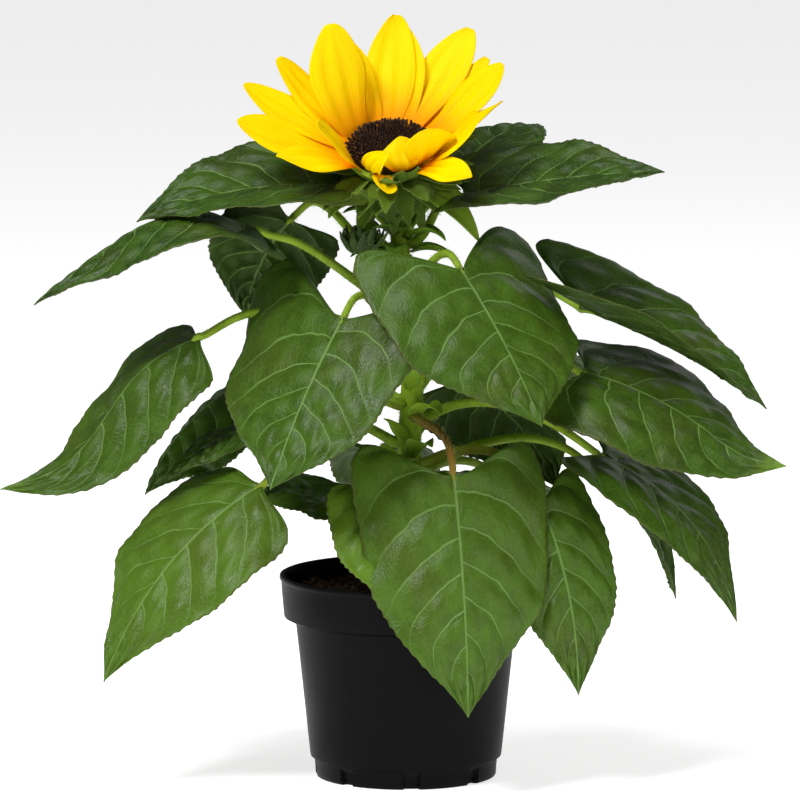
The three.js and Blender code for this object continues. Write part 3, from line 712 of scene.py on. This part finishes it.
def make_stem():
    """The stem with ribs, hairs and the young shoots in its leaf axils."""
    rng = np.random.default_rng(SEED + 1)
    stem, hairs, shoots = Batch(), Batch(), Batch()
    foot = STEM_LINE[0] - (0, 0, 3 * MM)
    line = smooth(np.vstack([foot, STEM_LINE, STEM_TOP + (STEM_TOP - STEM_LINE[-2]) * 0.4]), 120)
    height = line[:, 2]
    size = np.interp(height, STEM_LINE[:, 2], STEM_RADII)
    size = size * (1 + 0.025 * np.sin(height / (9 * MM)) + 0.02 * np.sin(height / (3.7 * MM)))
    tint = np.repeat(0.35 * step(-height, -0.16, -0.09), 24)
    grid, out = add_tube(stem, line, size, 24, 0.035, 9, tint=tint)
    scatter_hairs(hairs, grid[6:], out[6:], 3600, 2.1 * MM, 0.075 * MM, rng)
    for index, (height, turn, length, width, rise, curl) in enumerate(SHOOTS):
        middle = stem_middle(height * MM)
        start = middle + compass(turn) * 4.5 * MM
        tile = ((index % 6) / 6, (index // 6) / 6, 1 / 6)
        # Shoots below 230 mm sit in the shade of the leaves. Their tints near 0 give them mostly the brighter
        # green, which is painted light. Higher shoots get mostly the darker green.
        leaflet(shoots, start, compass(turn, rise), np.array([0, 0, 1.0]), length * MM, width * MM, curl, rng,
                0.5, rng.uniform(0.0, 0.4) if height < 230 else rng.uniform(0.6, 1.0), tile)
    stem.make("stem_skin", [STEM_SKIN], ["stem"], "stem")
    hairs.make("stem_hairs", [HAIR_SKIN], [], "stem")
    shoots.make("shoots", [SHOOT_GREEN_AND_PAINTED_LIGHT, SHOOT_GREEN_AND_PAINTED_LIGHT], [], "leaf")


# ------------------------------------------------------------------ flower

HEAD_TILT, HEAD_LEAN = math.radians(27), math.radians(-3)
HEAD_CENTRE = np.array([-7.5, -1, 299]) * MM
DISC_RADIUS = 18.5 * MM
HEAD_SIDES = 64
CUP_RIBS = 0.02
TILT = np.array(
    [[1, 0, 0], [0, math.cos(HEAD_TILT), -math.sin(HEAD_TILT)], [0, math.sin(HEAD_TILT), math.cos(HEAD_TILT)]]
)
LEAN = np.array(
    [[math.cos(HEAD_LEAN), 0, math.sin(HEAD_LEAN)], [0, 1, 0], [-math.sin(HEAD_LEAN), 0, math.cos(HEAD_LEAN)]]
)
HEAD = TILT @ LEAN


def on_head(points):
    """From the flower's own frame, facing +Z, to the plant's."""
    return points @ HEAD.T + HEAD_CENTRE


def to_head(direction):
    return direction @ HEAD.T


def turned(profile, ribs=0.0):
    """Rings of points round +Z through a half section, with 21 ribs where asked for."""
    angle = np.linspace(0, 2 * math.pi, HEAD_SIDES + 1)[:-1]
    radius = profile[:, 0][:, None] * (1 + ribs * np.cos(angle * 21))
    height = profile[:, 1][:, None] + 0 * angle
    return np.stack([radius * np.cos(angle), radius * np.sin(angle), height], -1).reshape(-1, 3)


RAY_CHANNEL = 1.2 * MM  # how deep a ray is hollowed along its middle
RAY_STAGGER = 1.8 * MM  # how much higher every second ray starts
RAY_FOOT = -1.3 * MM


def make_rays():
    """The ray florets, each a thin, pleated and twisted strap."""
    rng = np.random.default_rng(SEED + 2)
    batch = Batch()
    for index, (turn, length, width, lift, bend, twist, drift) in enumerate(RAYS):
        share = np.linspace(0, 1, RAY_ROWS)[:, None]
        reach = np.linspace(-1, 1, RAY_COLUMNS)[None]
        slope = np.radians(lift + 2 * bend * share)
        lift = np.radians(lift + bend * share)
        half = width * MM / 2 * 1.04 * np.sin(math.pi * (0.08 + 0.905 * share**1.2)) ** 0.62
        half = half * (1 + 0.05 * np.sin(share * rng.uniform(6, 12) + rng.uniform(0, 6) + reach))
        pleat = 0.55 * MM * np.cos(math.pi * reach * 3) * np.sin(math.pi * np.clip(share * 1.1, 0, 1))
        channel = RAY_CHANNEL * (1.3 * reach**2 - 0.2) * np.sin(math.pi * (0.1 + 0.85 * share))
        sway = 1.2 * MM * np.sin(share * rng.uniform(4, 8) + rng.uniform(0, 6)) * share * reach
        up = pleat + channel + sway
        twist = np.radians(twist) * (0.25 + 0.75 * share)
        side = half * reach
        across = side * np.cos(twist) - up * np.sin(twist) + drift * MM * share**2
        up = side * np.sin(twist) + up * np.cos(twist)
        length = length * MM
        out = DISC_RADIUS + 1.2 * MM + length * share * np.cos(lift) - up * np.sin(slope)
        height = RAY_FOOT + (index % 2) * RAY_STAGGER + length * share * np.sin(lift) + up * np.cos(slope)
        turn = math.radians(turn)
        x = out * math.cos(turn) + across * math.sin(turn)
        y = out * math.sin(turn) - across * math.cos(turn)
        grid = on_head(np.stack([x, y, height], -1))
        normals = grid_normals(grid)
        tile = (0.2 * (index % 5), 0.2 * (index // 5), 0.2)
        tint = np.full(grid.shape[:2], float(index))
        fields = {"along": np.broadcast_to(share, tint.shape), "across": np.broadcast_to(reach, tint.shape)}
        add_sheet(batch, grid, grid - normals * RAY_THICKNESS, tile, 0, tint=tint, **fields)
    batch.make("rays", [RAY_SKIN], ["ray_crown"], "ray", baked=True)


def add_floret(batch, foot, direction, length, width, slot, open_tip, rng):
    """A narrow six-sided floret: a stalk that swells and closes, or opens into a star."""
    side = unit(np.cross(direction, rng.normal(0, 1, 3)))
    other = np.cross(direction, side)
    angle = np.arange(6) * math.pi / 3
    round_it = np.cos(angle)[:, None] * side + np.sin(angle)[:, None] * other
    profile = ((0, 0.8), (0.45, 0.75), (0.75, 1.15), (1.0, 1.3 if open_tip else 0.35))
    points = np.array([foot + direction * length * rise + round_it * width * size for rise, size in profile])
    corner, beside = ring_corners(3, 6)
    walls = np.stack([corner, beside, beside + 6, corner + 6], -1)
    quads = np.concatenate([walls, [[18, 19, 20, 21], [18, 21, 22, 23]]])
    batch.add(points, quads, np.full(len(quads), slot))


def make_disc():
    """The brown middle of the flower: packed florets in the two families of spirals."""
    rng = np.random.default_rng(SEED + 3)
    batch = Batch()
    knots = [(0, 3.4), (0.25, 4.0), (0.5, 4.6), (0.75, 4.4), (0.92, 2.6), (1.0, 0.2), (0.97, -2.0)]
    profile = smooth(knots, 24) * (DISC_RADIUS / MM, 1) * MM
    corner, beside = ring_corners(len(profile) - 1, HEAD_SIDES, 1)
    quads = np.stack([corner, corner + HEAD_SIDES, beside + HEAD_SIDES, beside], -1)
    batch.add(on_head(turned(profile)), quads)
    count = 520
    for index in range(count):
        part = math.sqrt((index + 0.5) / count)
        turn = index * math.radians(137.508)
        height = np.interp(part, [k[0] for k in knots[:6]], [k[1] for k in knots[:6]]) * MM
        lean = 0.15 + 0.75 * part**3 - 0.5 * (1 - part) * (part > 0.25)
        lean += rng.normal(0, 0.1)
        ahead, side = math.cos(turn), math.sin(turn)
        direction = unit(np.array([ahead * lean, side * lean, 1.0]) + rng.normal(0, 0.06, 3))
        foot = np.array([ahead * part * DISC_RADIUS * 0.97, side * part * DISC_RADIUS * 0.97, height])
        length = (1.6 + 2.6 * part**2 + rng.uniform(0, 0.9)) * MM
        add_floret(batch, on_head(foot), to_head(direction), length, (0.38 + 0.12 * part) * MM,
                   int(rng.random() < 0.35 + 0.4 * part), part > 0.72 and rng.random() < 0.6, rng)
    batch.make("disc", [DISC_SKIN, FLORET_SKIN], ["flower_disc"], "disc")


# Bracts behind the flower: place in degrees, length, width, degrees below level at the foot, degrees
# of curl, lightness. These stand out singly. Two even whorls are added behind them.
BRACTS = [
    (328, 44, 17, -52, -38, 0.9), (300, 17, 7, -4, 40, 0.45), (283, 16, 7, 2, 30, 0.35),
    (268, 24, 10, -20, 50, 0.5), (248, 26, 11, -30, -30, 0.45), (228, 30, 12, -25, -50, 0.55),
    (208, 26, 10, -40, -30, 0.4), (336, 26, 9, -55, -20, 0.4), (300, 26, 9, -75, -20, 0.3),
    (270, 24, 10, -80, -10, 0.3), (240, 26, 10, -75, -20, 0.35), (352, 24, 9, -60, -10, 0.35),
]

# Half section of the flower's green back, from the stem up, in millimetres below the disc.
CUP_PROFILE = [
    (3.8, -19), (5.0, -15), (8.5, -12.4), (13.2, -9.8), (18, -6.4), (20.4, -3.4), (19.6, -2.4), (12, -2.6),
]


def make_cup():
    """The green back of the flower: a cup and its whorls of pointed bracts."""
    rng = np.random.default_rng(SEED + 4)
    cup, bracts, hairs = Batch(), Batch(), Batch()
    profile = smooth(CUP_PROFILE, 30) * MM
    corner, beside = ring_corners(len(profile) - 1, HEAD_SIDES)
    quads = np.stack([beside + HEAD_SIDES, corner + HEAD_SIDES, corner, beside], -1)
    cup.add(on_head(turned(profile, CUP_RIBS)), quads, tint=0.0)
    placed = list(BRACTS)
    for whorl, (count, length, width, drop) in enumerate(((15, 24, 10, -46), (14, 27, 9, -30))):
        for index in range(count):
            turn = 360 * (index + 0.5 * whorl) / count + rng.uniform(-6, 6)
            placed.append((turn, length * rng.uniform(0.8, 1.15), width * rng.uniform(0.85, 1.15),
                           drop + rng.uniform(-8, 6), rng.uniform(-40, 20), rng.uniform(0.2, 0.5)))
    for index, (turn, length, width, drop, curl, tint) in enumerate(placed):
        outwards = compass(turn)
        high = drop > -38
        start = outwards * (16.5 if high else 12.5) * MM + np.array([0, 0, -7.5 if high else -11.5]) * MM
        ahead = compass(turn, 35 + drop)
        over = np.array([0, 0, 1.0]) - outwards * 0.4
        tile = ((index % 7) / 7, (index // 7) / 7, 1 / 7)
        place = on_head(start), to_head(ahead), to_head(over)
        leaf, normals = leaflet(bracts, *place, length * MM, width * MM, curl, rng, 0.3, tint, tile)
        side = rng.integers(0, 2, 40) * (leaf.shape[1] - 1)
        row = rng.integers(0, len(leaf) - 2, 40)
        edge = leaf[row, side]
        out = unit(leaf[row, side] - leaf[row, leaf.shape[1] // 2]) - 0.4 * normals[row, side]
        add_hairs(hairs, edge, out, 1.5 * MM * rng.uniform(0.5, 1.1, 40), 0.06 * MM, rng)
    cup.make("cup", [STEM_SKIN], ["flower_cup"], "bract")
    bracts.make("bracts", [BRACT_SKIN, BRACT_SKIN], [], "bract")
    hairs.make("bract_hairs", [HAIR_SKIN], [], "bract")


def make_bud():
    """The closed bud in a leaf axil: a stalk and pointed bracts folded round a round head."""
    rng = np.random.default_rng(SEED + 5)
    stalk, bracts, hairs = Batch(), Batch(), Batch()
    knots = np.array([(-5, -4, 226), (-9, -7, 231), (-15, -11, 236), (-20, -13, 243), (-21, -13, 250)]) * MM
    grid, out = add_tube(stalk, smooth(knots, 30), np.full(30, 1.6 * MM), 12, 0.04, 4, tint=0.0)
    scatter_hairs(hairs, grid, out, 320, 1.8 * MM, 0.07 * MM, rng)
    centre = np.array([-21, -13, 256]) * MM
    polar = np.linspace(-1.5, 1.5, 18)
    knob = centre + np.array([0, 0, 5.4 * MM]) * np.sin(polar)[:, None]
    add_tube(stalk, knob, 5.6 * MM * np.cos(polar) + 0.1 * MM, 16, 0, 4, tint=0.0)
    for index in range(26):
        turn = index * 137.5
        low = index < 13
        out, drop = (3.0, -4.6) if low else (2.4, -3.2)
        start = centre + compass(turn) * out * MM + np.array([0, 0, drop]) * MM
        length = (15 if low else 13) * rng.uniform(0.85, 1.15) * MM
        ahead = compass(turn, 22 if low else 38)
        tile = ((index % 6) / 6, (index // 6) / 6, 1 / 6)
        leaf, normals = leaflet(bracts, start, ahead, np.array([0, 0, 1.0]), length, 4.6 * MM,
                                rng.uniform(45, 95), rng, 0.5, rng.uniform(0.0, 0.08), tile, 13, 7)
        row = rng.integers(0, 12, 60)
        side = rng.integers(0, 7, 60)
        lengths = 1.5 * MM * rng.uniform(0.4, 1.1, 60)
        add_hairs(hairs, leaf[row, side], -normals[row, side], lengths, 0.06 * MM, rng)
    stalk.make("bud_stalk", [PETIOLE_SKIN], ["side_bud"], "bract")
    bracts.make("bud_bracts", [BRACT_SKIN, BRACT_SKIN], [], "bract")
    hairs.make("bud_hairs", [HAIR_SKIN], [], "bract")


# ------------------------------------------------------------------ pot and soil

# Half section of the pot, outside up and inside down, in millimetres.
POT_PROFILE = [
    (0, 0.9), (20, 0.9), (39.5, 0.6), (41.4, 0.0), (42.6, 0.3), (43, 1.0), (43.1, 3.0), (43.2, 4.8),
    (43.5, 8.2), (43.7, 9.0), (44.7, 9.3), (45.4, 9.8), (45.6, 10.6), (46.6, 20), (48.3, 36), (50, 52),
    (51.5, 66), (52.3, 73), (52.7, 74.6), (54, 75.4), (56.6, 76.2), (57.8, 76.8), (58.05, 77.8), (58.5, 83),
    (59, 89), (59.3, 93.6), (59.5, 94.4), (60, 94.9), (60.1, 95.9), (59.8, 96.7), (59.2, 97), (58.4, 96.9),
    (57.9, 96.2), (57.6, 93), (56.6, 80), (55.9, 77.6), (51.2, 75), (50.6, 73), (44.2, 12), (41.6, 9),
    (41.4, 3.0), (20, 2.6), (0, 2.6),
]
NOTCH_DEPTH = 2.6 * MM
NOTCH_HEIGHT = 5.0  # in millimetres, as in the half section
# Drain notches in its lower edge: middle and half width of each, in degrees from +X.
POT_NOTCHES = [(273.4, 5.2), (229, 5.0), (318, 5.0), (185, 5.0), (4, 5.0), (50, 5.0), (95, 5.2), (140, 5.0)]


def make_pot():
    """The pot: a collar, a rolled lip, a stepped foot and notches in its lower edge."""
    batch = Batch()
    sides = 360
    profile = np.array(POT_PROFILE) * MM
    angle = np.radians(np.arange(sides) * 360 / sides)
    radius = np.repeat(profile[:, :1], sides, axis=1)
    height = np.repeat(profile[:, 1:], sides, axis=1)
    degrees = np.arange(sides) * 360 / sides
    for middle, half in POT_NOTCHES:
        inside = np.abs((degrees - middle + 180) % 360 - 180) < half
        for row in range(2, 8):
            if POT_PROFILE[row][1] < NOTCH_HEIGHT:
                radius[row, inside] -= NOTCH_DEPTH
    grid = np.stack([radius * np.cos(angle), radius * np.sin(angle), height], -1)
    corner, beside = ring_corners(len(profile) - 1, sides)
    batch.add(grid.reshape(-1, 3), np.stack([corner, beside, beside + sides, corner + sides], -1))
    pot = batch.make("pot_shell", [pot_material()], ["pot"], "pot")
    pot.data.set_sharp_from_angle(angle=math.radians(40))


# The soil, in millimetres: its radius, the height of its surface at the wall, how much it rises to the
# stem, the height of its hidden underside, and how many crumbs lie on it.
SOIL_RADIUS, SOIL_TOP, SOIL_MOUND, SOIL_FOOT = 55.6, 87.4, 1.3, 79
CRUMBS = 3400


def make_soil():
    """Dark bark-and-peat soil: an uneven bed strewn with crumbs."""
    rng = np.random.default_rng(SEED + 6)
    batch = Batch()
    rings, sides = 56, 150
    share = np.linspace(0.02, 1, rings)[:, None]
    angle = np.linspace(0, 2 * math.pi, sides, endpoint=False)[None]
    x, y = SOIL_RADIUS * share * np.cos(angle), SOIL_RADIUS * share * np.sin(angle)
    bumps = np.zeros_like(x)
    for size, scale in ((1.1, 0.11), (0.7, 0.27), (0.45, 0.6)):
        for _ in range(4):
            a, b, c = rng.uniform(-1, 1), rng.uniform(-1, 1), rng.uniform(0, 6)
            first = np.sin(scale * 2 * (a * x + b * y) + c)
            second = np.cos(scale * 2 * (b * x - a * y) + 2 * c)
            bumps += size * 0.5 * first * second
    height = SOIL_TOP + SOIL_MOUND * (1 - share) + bumps + rng.normal(0, 0.22, x.shape)
    height = height - 1.5 * step(share, 0.93, 1.0)
    grid = np.stack([x, y, height], -1) * MM
    foot = grid.copy()
    foot[..., 2] = SOIL_FOOT * MM
    points = np.concatenate([grid.reshape(-1, 3), foot[-1] * (0.985, 0.985, 1)])
    corner, beside = ring_corners(rings, sides)
    batch.add(points, np.stack([beside, corner, corner + sides, beside + sides], -1))
    cube = np.array([(i, j, k) for i in (-1, 1) for j in (-1, 1) for k in (-1, 1)], float)
    faces = np.array([[0, 1, 3, 2], [4, 6, 7, 5], [0, 4, 5, 1], [2, 3, 7, 6], [0, 2, 6, 4], [1, 5, 7, 3]])
    for _ in range(CRUMBS):
        part, turn = math.sqrt(rng.uniform(0.02, 1)) * 54.5, rng.uniform(0, 2 * math.pi)
        size = rng.choice([0.5, 0.8, 1.3, 2.1], p=[0.35, 0.4, 0.2, 0.05]) * rng.uniform(0.7, 1.3)
        stretch = np.array([rng.uniform(0.8, 1.9), rng.uniform(0.6, 1.1), rng.uniform(0.5, 0.9)])
        basis = np.linalg.qr(rng.normal(0, 1, (3, 3)))[0]
        basis[:, 0] *= np.sign(np.linalg.det(basis))
        row = max(int((part / SOIL_RADIUS - 0.02) / 0.98 * (rings - 1)), 0)
        column = int(turn / (2 * math.pi) * sides) % sides
        rise = height[row, column] + 0.25 * size
        middle = np.array([part * math.cos(turn), part * math.sin(turn), rise])
        corners = middle + size * (cube * stretch * rng.uniform(0.6, 1.0, (8, 1))) @ basis.T
        batch.add(corners * MM, faces, np.full(6, 1 if rng.random() < 0.5 else 0))
    batch.make("soil_bed", [SOIL_SKIN, CRUMB_SKIN], ["soil"], "soil")


# ------------------------------------------------------------------ studio


FLOOR_REACH = 40.0  # in metres


def make_floor():
    """A wide, flat, pale floor."""
    mesh = bpy.data.meshes.new("floor")
    corners = [(x * FLOOR_REACH, y * FLOOR_REACH, 0.0) for x, y in ((-1, -1), (1, -1), (1, 1), (-1, 1))]
    mesh.from_pydata(corners, [], [(0, 1, 2, 3)])
    white = plain("floor", (0.93, 0.93, 0.93, 1), 0.9, 0.1)
    shader = white.node_tree.nodes["Principled BSDF"]
    shader.inputs["Emission Color"].default_value = (1, 1, 1, 1)
    shader.inputs["Emission Strength"].default_value = 0.7
    mesh.materials.append(white)
    floor = bpy.data.objects.new("floor", mesh)
    bpy.context.scene.collection.objects.link(floor)


def add_light(name, position, target, size, watts):
    light = bpy.data.lights.new(name, "AREA")
    light.shape, light.size, light.energy = "DISK", size, watts
    lamp = bpy.data.objects.new(name, light)
    place_facing(lamp, position, target)
    bpy.context.scene.collection.objects.link(lamp)


def place_facing(thing, position, target):
    """Turns a lamp or camera to look from a place at a target."""
    look = Vector(target) - Vector(position)
    thing.location = position
    thing.rotation_euler = look.to_track_quat("-Z", "Y").to_euler()


def make_studio():
    """White surroundings, soft lamps from the left, the right, behind and above, and the camera."""
    scene = bpy.context.scene
    world = bpy.data.worlds.new("studio")
    scene.world = world
    world.use_nodes = True
    background = world.node_tree.nodes["Background"]
    background.inputs["Color"].default_value = (1, 1, 1, 1)
    background.inputs["Strength"].default_value = 0.12
    add_light("key", (-1.0, -1.3, 2.0), (0, 0, 0.2), 0.7, 38)
    add_light("fill", (1.6, -1.5, 0.9), (0, 0, 0.15), 0.8, 8)
    add_light("back", (1.0, 1.7, 1.3), (0, 0, 0.2), 1.0, 3)
    add_light("top", (-0.25, -0.35, 2.1), (0, 0, 0.2), 0.7, 14)
    target = np.array([-2.8, 0, 180]) * MM
    elevation, distance = math.radians(7.7), 3.5
    lens = bpy.data.cameras.new("camera")
    lens.lens, lens.sensor_width, lens.clip_end = 332.3, 36, 100
    camera = bpy.data.objects.new("camera", lens)
    position = target + distance * np.array([0, -math.cos(elevation), math.sin(elevation)])
    place_facing(camera, position.tolist(), target.tolist())
    scene.collection.objects.link(camera)
    scene.camera = camera
    scene.view_settings.view_transform = "Standard"
    scene.view_settings.look = "None"


make_leaves()
make_stem()
make_rays()
make_disc()
make_cup()
make_bud()
make_pot()
make_soil()
make_floor()
make_studio()
